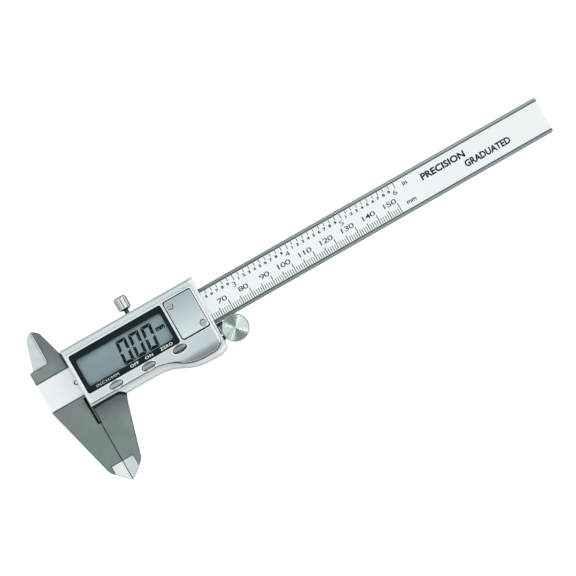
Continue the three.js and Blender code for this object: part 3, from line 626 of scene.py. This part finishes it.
def segment_digit(bm, x, y, z, lit="abcdef"):
    """A leaning seven-segment figure."""
    w, h, t, gap = DIGIT_WIDTH, DIGIT_HEIGHT, SEGMENT, 0.1
    mid = h / 2

    def level(y0, x0, x1, flip):
        return [(x0 + gap, y0), (x1 - gap, y0), (x1 - gap - t, y0 + flip * t), (x0 + gap + t, y0 + flip * t)]

    def upright(x0, y0, y1, flip, low_cut, high_cut):
        return [(x0, y0 + gap + low_cut[0]), (x0, y1 - gap - high_cut[0]),
                (x0 + flip * t, y1 - gap - high_cut[1]), (x0 + flip * t, y0 + gap + low_cut[1])]

    half = t / 2
    shapes = {
        "a": level(h, 0, w, -1),
        "d": level(0, 0, w, 1),
        "g": [(t * 0.6 + gap, mid), (t + gap, mid + half), (w - t - gap, mid + half),
              (w - t * 0.6 - gap, mid), (w - t - gap, mid - half), (t + gap, mid - half)],
        "f": upright(0, mid, h, 1, (0, half), (0, t)),
        "e": upright(0, 0, mid, 1, (0, t), (0, half)),
        "b": upright(w, mid, h, -1, (0, half), (0, t)),
        "c": upright(w, 0, mid, -1, (0, t), (0, half)),
    }
    for key in lit:
        outline = [(x + px + py * DIGIT_LEAN, y + py) for px, py in shapes[key]]
        slab(bm, outline, z, z + SEGMENT_THICK)


def display_reading():
    """The reading 0.00 mm on the face of the liquid crystal cell."""
    bm = bmesh.new()
    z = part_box("lcd_panel")[1].z / MM + 0.002
    for i in range(3):
        segment_digit(bm, DIGIT_FIRST_X + i * DIGIT_PITCH, DIGIT_LOW_Y, z)
    left, right = (DIGIT_FIRST_X + side for side in POINT_X)
    bar(bm, left, right, DIGIT_LOW_Y, DIGIT_LOW_Y + 0.7, z, z + SEGMENT_THICK)
    glyphs(bm, "mm", 2.1, 38.6, 1.3, z, "left", 0.92, SEGMENT_THICK, DIGIT_LEAN, bold=0.06)
    finish_piece("display_reading", bm, [LCD_DARK], "slider")


def bezel_labels():
    """The names of the buttons, in pale print on the bezel."""
    bm = bmesh.new()
    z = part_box("display_bezel")[1].z / MM + 0.001
    labels = (("INCH/MM", 11.6, 1.42), ("OFF", 24.2, 1.3), ("ON", 31.0, 1.4), ("ZERO", 39.2, 1.25))
    for words, x, widen in labels:
        weight = -0.012 if "/" in words else 0.012
        glyphs(bm, words, 1.2, x, -6.55, z, "centre", widen, bold=weight, gap=1.12)
    finish_piece("bezel_labels", bm, [LABEL_INK], "slider")


# ---------------------------------------------------------------- casing

def belly_drop(y):
    """How far the cover's front lies below its top level: it rolls away towards the belly's edge."""
    depth = max(0.0, (BELLY_ROLL_Y - y) / (BELLY_ROLL_Y - COVER["belly"]))
    return BELLY_DROP * depth ** BELLY_CURVE


def front_height(x, y):
    """The height of the cover's front at a point. It is the same all along X."""
    return COVER_TOP - belly_drop(y)


# The cover's chrome, a painted highlight on its rounded edge and rims, black painted shade inside its
# openings, and painted shade in the fold along its lower side.
COVER_FINISH_AND_SHADE = [CASE, HIGHLIGHT_CHROME, BLACK_FELT_AND_SHADE, SHADED_FOLD]
PLAIN, HIGHLIGHTED, SHADED_WALL, SHADED = range(4)


def cover_edge(bm):
    """The cover's side wall and rounded edge, with painted shade along its lower side, where it folds over
    the rim. Gives its inner ring.
    """
    r = COVER_EDGE
    rings = [(cover_ring(0), COVER_BACK), (cover_ring(0), COVER_BACK + 1.0)]
    for step in range(6):
        angle = math.pi / 2 * step / 5
        inset = r * (1 - math.cos(angle))
        rise = r * math.sin(angle)
        rings.append((cover_ring(inset), lambda x, y, rise=rise: front_height(x, y) - r + rise))
    inner = stack(bm, rings, [PLAIN] + [HIGHLIGHTED] * 6)[-1]
    for face in bm.faces:
        x, y, z = (face.calc_center_median() - ORIGIN) / MM
        below_top = front_height(x, y) - z
        # Painted shade in the fold: faces of the rounded edge along the lower side, below the front's level.
        low_edge = y < COVER["bottom"] + COVER_EDGE and (x < 58 or y < -15.3)
        if low_edge and below_top > (0.02 if x > 36 else 0.13):
            face.material_index = SHADED
    return inner


def cover_openings(bm):
    """The rolled rims of the display's, the battery's and the buttons' openings: black painted shade on their
    walls inside, a painted highlight on their rolled rims. Gives their outer rings.
    """
    openings = [
        (0.16, [rounded_ring(BEZEL, 0.9, grow) for grow in (0.0, 0.05, 0.14, 0.34)]),
        (0.16, [rounded_ring(HATCH, 1.2, grow) for grow in (0.0, 0.05, 0.14, 0.22)]),
    ]
    for x in BUTTON_X.values():
        lower = 0.26 if x == BUTTON_X["button_zero"] else 0.1
        hole = (x + 0.05, BUTTON_Y - lower, BUTTON_RX + 0.14, BUTTON_RY + 0.08 + lower)
        openings.append((0.28, [oval_ring(*hole, grow) for grow in (0.0, 0.08, 0.18, 0.42)]))
    rims = []
    for depth, (low, middle, high, polished) in openings:
        made = stack(bm, [
            (low, COVER_TOP - COVER_SHEET - 0.1),
            (low, COVER_TOP - depth),
            (middle, COVER_TOP - depth * 0.42),
            (high, front_height),
            (polished, front_height),
        ], (SHADED_WALL, SHADED_WALL, HIGHLIGHTED, HIGHLIGHTED))
        rims.append(made[-1])
    return rims


def net_points(outline, holes, reach=0.3):
    """A regular net of points inside an outline, which keeps a distance from it and from its holes."""
    for i in range(61):
        for j in range(42):
            x, y = 0.7 + i, COVER["belly"] + j * 0.7
            spots = [(x + reach, y), (x - reach, y), (x, y + reach), (x, y - reach)]
            near = any(inside(spot, ring) for ring in holes for spot in spots)
            if not near and all(inside(spot, outline) for spot in spots):
                yield Vector((x, y))


def fill_field(bm, loops):
    """Fills the front between its outer ring and the openings' rings with a net that follows the roll."""
    flat = [[((v.co - ORIGIN) / MM).to_2d() for v in loop] for loop in loops]
    points, edges = [], []
    for loop in flat:
        start = len(points)
        points += loop
        edges += [(start + i, start + (i + 1) % len(loop)) for i in range(len(loop))]
    fixed = len(points)
    outline, *holes = [list(map(tuple, loop)) for loop in flat]
    points += net_points(outline, holes)
    net, _, triangles, sources, _, _ = delaunay_2d_cdt(points, edges, [], 0, 1e-7)
    ring_verts = [v for loop in loops for v in loop]
    verts = []
    for point, source in zip(net, sources):
        known = [index for index in source if index < fixed]
        x, y = point
        verts.append(ring_verts[known[0]] if known else bm.verts.new(at(x, y, front_height(x, y))))
    for triangle in triangles:
        centre = sum((net[i] for i in triangle), Vector((0, 0))) / 3
        if inside(centre, outline) and not any(inside(centre, ring) for ring in holes):
            bm.faces.new([verts[i] for i in triangle])
    loose = [v for v in bm.verts if not v.link_faces]
    bmesh.ops.delete(bm, geom=loose, context="VERTS")


def front_cover():
    """The pressed cover: rounded edges, rolled rims, and a front that rolls away to the belly."""
    bm = bmesh.new()
    inner = cover_edge(bm)
    fill_field(bm, [inner] + cover_openings(bm))
    piece = finish_piece(
        "front_cover_pressed", bm, COVER_FINISH_AND_SHADE, "slider", ["front_cover"], 50,
    )
    sheet = piece.modifiers.new("sheet", "SOLIDIFY")
    sheet.thickness = COVER_SHEET * MM
    sheet.offset = -1


def buttons():
    """Oval caps with a round crown."""
    for node, x in BUTTON_X.items():
        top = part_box(node)[1].z / MM
        bm = bmesh.new()
        side = oval_ring(x, BUTTON_Y, BUTTON_RX, BUTTON_RY)
        rings = [(side, top - 1.6), (side, top - BUTTON_CROWN)]
        for step in range(1, 11):
            angle = math.pi / 2 * (step / 11)
            shrink = 1 - math.cos(angle)
            height = top - BUTTON_CROWN + BUTTON_CROWN * math.sin(angle)
            rings.append((oval_ring(x, BUTTON_Y, BUTTON_RX * (1 - shrink), BUTTON_RY * (1 - shrink)), height))
        made = stack(bm, rings)
        cap(bm, made[0][::-1])
        cap(bm, made[-1])
        finish_piece(f"{node}_cap", bm, [KEY], BODY_OF[node], [node], 40)


# ---------------------------------------------------------------- thumb roller

def knurled(radius, depth):
    """The radius of a knurled rim at each angle: two points on each tooth, two in each gap."""
    def reach(angle):
        step = round(angle * ROLLER_TEETH * 4 / (2 * math.pi)) % 4
        return radius if step < 2 else radius - depth
    return reach


def thumb_roller():
    """A knurled wheel. Its face is turned: each fine groove slopes down outwards and drops back inwards."""
    low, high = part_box("thumb_roller")
    back, front = low.z / MM, high.z / MM
    shoulder = ROLLER_SHOULDER_Z
    rim = ROLLER_CAP_R - 0.45

    def place(a, b, z):
        return at(ROLLER[0] + a, ROLLER[1] + b, z)

    bm = bmesh.new()
    revolve(bm, [
        (4.9, back),
        (knurled(ROLLER_R, 0.14), back + 0.35),
        (knurled(ROLLER_R, 0.14), shoulder - 0.15),
        (5.15, shoulder),
        (5.5, shoulder + 0.01),
        (knurled(ROLLER_CAP_R, 0.16), shoulder + 0.3),
        (knurled(ROLLER_CAP_R, 0.16), front - 0.4),
        (rim + 0.1, front - 0.05),
        (rim, front - 0.05),
        (rim, front - 0.12),
    ], place, ROLLER_TEETH * 4)
    rise = ROLLER_GROOVE * math.tan(math.radians(ROLLER_SLOPE))
    profile = [(rim - 0.01, front - 0.3)]
    radius = rim - 0.01
    while radius > 1.2 * ROLLER_GROOVE:
        profile += [(radius, front - 0.02 - rise), (radius - ROLLER_GROOVE, front - 0.02)]
        radius -= ROLLER_GROOVE + 0.004
    revolve(bm, profile, place, 120, 1)
    finish_piece("thumb_roller_knurled", bm, [BRIGHT, TURNED], "roller", ["thumb_roller"], 15)


def fluted(radius, depth):
    """The radius of the lock screw's head at each angle: flutes are narrow grooves."""
    def reach(angle):
        ridge = 0.5 + 0.5 * math.cos(LOCK_FLUTES * (angle - LOCK_PHASE))
        return radius - depth * ridge ** 7
    return reach


def lock_screw():
    """The lock screw: a bright fluted head on a thin neck. Its flutes, its neck and the foot of its head are
    dark with painted shade.
    """
    low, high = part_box("lock_screw")
    tip = (low.y - ORIGIN.y) / MM
    top = (high.y - ORIGIN.y) / MM
    head = top - LOCK_HEAD

    def place(a, b, y):
        return at(LOCK_X + a, y, LOCK_Z + b)

    bm = bmesh.new()
    revolve(bm, [
        (1.2, tip),
        (1.2, 13.2),
        (0.95, 13.5),
        (0.95, head - 0.3),
        (1.3, head),
        (fluted(2.1, 0.1), head + 0.2),
        (fluted(2.6, 0.2), head + 0.6),
        (fluted(LOCK_R, 0.3), head + 0.95),
        (fluted(LOCK_R, 0.3), top - 1.0),
        (fluted(2.7, 0.25), top - 0.6),
        (fluted(2.45, 0.18), top - 0.28),
        (fluted(2.05, 0.08), top - 0.08),
        (1.6, top),
    ], place, LOCK_FLUTES * 24)
    axis = at(LOCK_X, 0, LOCK_Z)
    # Painted shade: faces deep in a flute, and those below the head's foot, take the dark steel.
    for face in bm.faces:
        arm = face.calc_center_median() - axis
        depth = LOCK_R - math.hypot(arm.x, arm.z) / MM
        along = (arm.y + axis.y - ORIGIN.y) / MM
        in_flute = head + 0.8 < along < top - 0.8 and depth > 0.2
        below_head = along < head + 0.5
        face.material_index = 1 if in_flute or below_head else 0
    finish_piece("lock_screw_fluted", bm, [POLISHED, SHADE_STEEL], "lock", ["lock_screw"], 40)


# ---------------------------------------------------------------- steel pieces

def steel_finish(face):
    """Which material a face of the jaws gets: 0 satin, 1 ground bright, 2 black painted shade on the relief's
    walls and the parting edge, 3 painted highlight on the step of the inside blade.
    """
    x, y, z = (face.calc_center_median() - ORIGIN) / MM
    up = face.normal.z
    tip_flat = y < TIP_ZONE_Y + 0.2 and -5.7 < x < 5.3 and abs(up) > 0.96 and z < 5.4
    inside_blade = y > 12.3 and z < 4.2 and up > 0.9
    relief_wall = -1.6 < x < 0.9 and RELIEF_LOW_Y < y < RELIEF_HIGH_Y and abs(up) < 0.9
    parting_edge = abs(x) < 0.3 and y < -20 and z > 4 and up < 0.96
    blade_step = y > 13 and INSIDE_X - 0.3 < x < INSIDE_X + 0.75 and 0.1 < up < 0.9
    if tip_flat:
        return 1
    if relief_wall or parting_edge:
        return 2
    if blade_step:
        return 3
    return 1 if inside_blade else 0


def relief_floor():
    """The relief beside the measuring faces is a groove: its floor is a thin web of the fixed jaw. A black
    strip beside the web is painted shade under the groove's wall.
    """
    bm = bmesh.new()
    bar(bm, -0.5, 0.36, -19.9, -8.1, 2.7, 4.6)
    finish_piece("jaw_relief_floor", bm, [STEEL], "beam")
    bm = bmesh.new()
    bar(bm, -1.27, -0.5, -20.3, -8.1, 2.4, 2.9)
    finish_piece("jaw_relief_shade", bm, [BLACK_FELT_AND_SHADE], "beam")


def wipers():
    """Black felt wipers at the slider's ends and along its jaw, which keep dirt out of it; their black also
    paints the shade in the gaps beside the casing and the roller.
    """
    felt_shade_strips = {
        "end_wiper_shade": ([(-0.75, 6.9), (-0.03, 6.9), (-0.03, 12.9), (-0.75, 12.9)], 5.84, 6.6),
        "edge_wiper_shade": ([(61.02, -8.15), (64.1, -8.15), (63.3, -9.6), (61.02, -9.6)], 4.9, 5.94),
        "jaw_wiper_shade": ([
            (0.3, -12.3), (12.6, -12.3), (15.2, -13.9), (15.2, -14.9),
            (14.7, -14.9), (12.2, -13.25), (5.0, -13.25), (0.3, -13.5),
        ], 5.82, 6.2),
        "roller_wiper_shade": ([
            (60.95, -13.7), (61.95, -13.7), (61.95, -14.8), (61.5, -15.8), (60.95, -15.8),
        ], 2.4, 5.9),
    }
    for name, (outline, low, high) in felt_shade_strips.items():
        bm = bmesh.new()
        slab(bm, outline, low, high)
        finish_piece(name, bm, [BLACK_FELT_AND_SHADE], "slider")


def film_seams():
    """A narrow dark line along each edge of the film: painted shade, as of a groove there."""
    bm = bmesh.new()
    right = (BEAM_HIGH.x - ORIGIN.x) / MM
    top = BEAM_HIGH.z / MM
    for low, high in ((-6.92, -6.62), (6.62, 6.92)):
        bar(bm, HEAD_X + 0.3, right - 0.3, low, high, top - 0.02, top + 0.012)
    finish_piece("film_seams", bm, [SHADE_STEEL], "beam")


def steel():
    """The beam with the fixed jaws, and the slider's frame with the moving ones."""
    refine("main_beam", 0.2, 2, STEEL, (GROUND_BRIGHT, BLACK_FELT_AND_SHADE, HIGHLIGHT_CHROME), steel_finish)
    refine("slider_frame", 0.14, 2, SLIDER_STEEL, (GROUND, BLACK_FELT_AND_SHADE, HIGHLIGHT_CHROME), steel_finish)


# ---------------------------------------------------------------- everything else

def carried_over():
    """Every CAD node gets the material of its slot. Some are replaced by finer pieces further on."""
    for name, node in frame["nodes"].items():
        material = SLOT_MATERIALS[SLOT_OF[name]]
        for slot in node.material_slots:
            slot.material = material
        if not node.material_slots:
            node.data.materials.append(material)


def rim_finish(face):
    """The rolled edge along the casing's lower side gets a painted highlight."""
    return 1 if 0.05 < face.normal.z < 0.97 and face.normal.y < -0.15 else 0


def refined_pieces():
    """CAD nodes that keep their shape, with softened edges."""
    for node, edge in (
        ("display_bezel", 0.1), ("lcd_panel", 0.05),
        ("display_window", 0.05), ("scale_overlay", 0.03), ("rear_plate", 0.05),
        ("battery_cover_screw_1", 0.06), ("battery_cover_screw_2", 0.06),
        ("end_stop_plate", 0.1), ("end_stop_screw_1", 0.05), ("end_stop_screw_2", 0.05), ("depth_rod", 0.08),
    ):
        refine(node, edge, 2, sharp=40)
    refine("lower_case", 0.15, 2, RIM_CHROME, (HIGHLIGHT_CHROME,), rim_finish, sharp=40)
    refine("battery_cover", 0.26, 3, HATCH_CHROME, sharp=40, shrink=(0.2, 0.34))
    refine("roller_bracket", 0.1, 2, BRIGHT, sharp=40)


def floor():
    """A plain pale floor. It glows for the camera, so that it looks white, but hardly for the metal."""
    bm = bmesh.new()
    half = FLOOR_HALF
    corners = ((-half, -half), (half, -half), (half, half), (-half, half))
    bm.faces.new([bm.verts.new((x, y, -0.00005)) for x, y in corners])
    mesh = bpy.data.meshes.new("floor")
    bm.to_mesh(mesh)
    bm.free()
    material, nodes, links = new_material("pale_floor")
    shader = nodes["Principled BSDF"]
    shader.inputs["Roughness"].default_value = 0.9
    broad = noise(nodes, links, 3, detail=2)
    color = tinted(nodes, links, broad, (0.2, 0.2, 0.2), (0.22, 0.22, 0.22))
    links.new(color, shader.inputs["Base Color"])
    shader.inputs["Emission Color"].default_value = (1, 1, 1, 1)
    seen = nodes.new("ShaderNodeLightPath")
    glow = spread(nodes, links, seen.outputs["Is Camera Ray"], FLOOR_MIRRORED, FLOOR_SEEN, 0, 1)
    links.new(glow, shader.inputs["Emission Strength"])
    mesh.materials.append(material)
    plane = bpy.data.objects.new("floor", mesh)
    bpy.context.scene.collection.objects.link(plane)


def sky():
    """Soft studio surroundings: bright overhead and towards the beam's two ends, darker across it."""
    world = bpy.data.worlds.new("studio")
    bpy.context.scene.world = world
    world.use_nodes = True
    nodes, links = world.node_tree.nodes, world.node_tree.links
    background = nodes["Background"]
    coordinates = nodes.new("ShaderNodeTexCoord")
    parts = nodes.new("ShaderNodeSeparateXYZ")
    links.new(coordinates.outputs["Generated"], parts.inputs["Vector"])

    def math_node(operation, a, b=None):
        node = nodes.new("ShaderNodeMath")
        node.operation = operation
        for socket, value in zip(node.inputs, (a, b)):
            if value is None:
                continue
            if isinstance(value, (int, float)):
                socket.default_value = value
            else:
                links.new(value, socket)
        return node.outputs["Value"]

    def step(value, start, end, low, high):
        node = nodes.new("ShaderNodeMapRange")
        node.interpolation_type = "SMOOTHSTEP"
        for socket, number in zip(node.inputs[1:5], (start, end, low, high)):
            socket.default_value = number
        links.new(value, node.inputs["Value"])
        return node.outputs["Result"]

    x, y, z = parts.outputs
    xx = math_node("MULTIPLY", x, x)
    yy = math_node("MULTIPLY", y, y)
    flat = math_node("ADD", math_node("ADD", xx, yy), 1e-4)
    along = math_node("DIVIDE", math_node("SUBTRACT", xx, yy), flat)
    ends = step(x, -0.2, 0.2, SKY_LEFT, SKY_RIGHT)
    turn = step(along, -0.12, 0.12, 0, 1)
    side = math_node("ADD", math_node("MULTIPLY", turn, ends),
                     math_node("MULTIPLY", math_node("SUBTRACT", 1.0, turn), SKY_ACROSS))
    strips = step(math_node("ABSOLUTE", along), 0.0, 0.15, SKY_STRIPS, 0.0)
    side = math_node("ADD", side, strips)
    side = math_node("MULTIPLY", side, step(z, 0.0, 0.35, SKY_HORIZON, 1.0))
    overhead = step(z, 0.86, 0.965, 0.0, 1.0)
    mixed = math_node("ADD", math_node("MULTIPLY", overhead, SKY_TOP),
                      math_node("MULTIPLY", math_node("SUBTRACT", 1.0, overhead), side))
    links.new(mixed, background.inputs["Strength"])
    background.inputs["Color"].default_value = (*SKY_COLOR, 1)


def lamp(name, position, size, watts):
    """A soft lamp aimed at the origin, which the metal doesn't mirror."""
    data = bpy.data.lights.new(name, "AREA")
    data.size = size
    data.energy = watts
    lamp_object = bpy.data.objects.new(name, data)
    lamp_object.location = position
    lamp_object.visible_glossy = False
    lamp_object.rotation_euler = (-Vector(position)).to_track_quat("-Z", "Y").to_euler()
    bpy.context.scene.collection.objects.link(lamp_object)


def camera():
    """Looks straight down, turned so that the beam runs up to the right."""
    data = bpy.data.cameras.new("camera")
    data.sensor_width = 36
    data.lens = VIEW_SCALE * VIEW_DISTANCE * data.sensor_width / 576
    data.clip_end = 10
    eye = bpy.data.objects.new("camera", data)
    eye.location = (*VIEW_CENTRE, FILM_HIGH.z + VIEW_DISTANCE)
    eye.rotation_euler = (0, 0, -VIEW_ROLL)
    bpy.context.scene.collection.objects.link(eye)
    bpy.context.scene.camera = eye


# ---------------------------------------------------------------- assembly

carried_over()
steel()
relief_floor()
wipers()
film_seams()
refined_pieces()
front_cover()
buttons()
thumb_roller()
lock_screw()
printed_scale()
display_reading()
bezel_labels()
floor()
sky()
lamp("key", (0.05, 0.8, 1.4), 0.5, 8)
camera()
bpy.context.scene.view_settings.view_transform = "Standard"
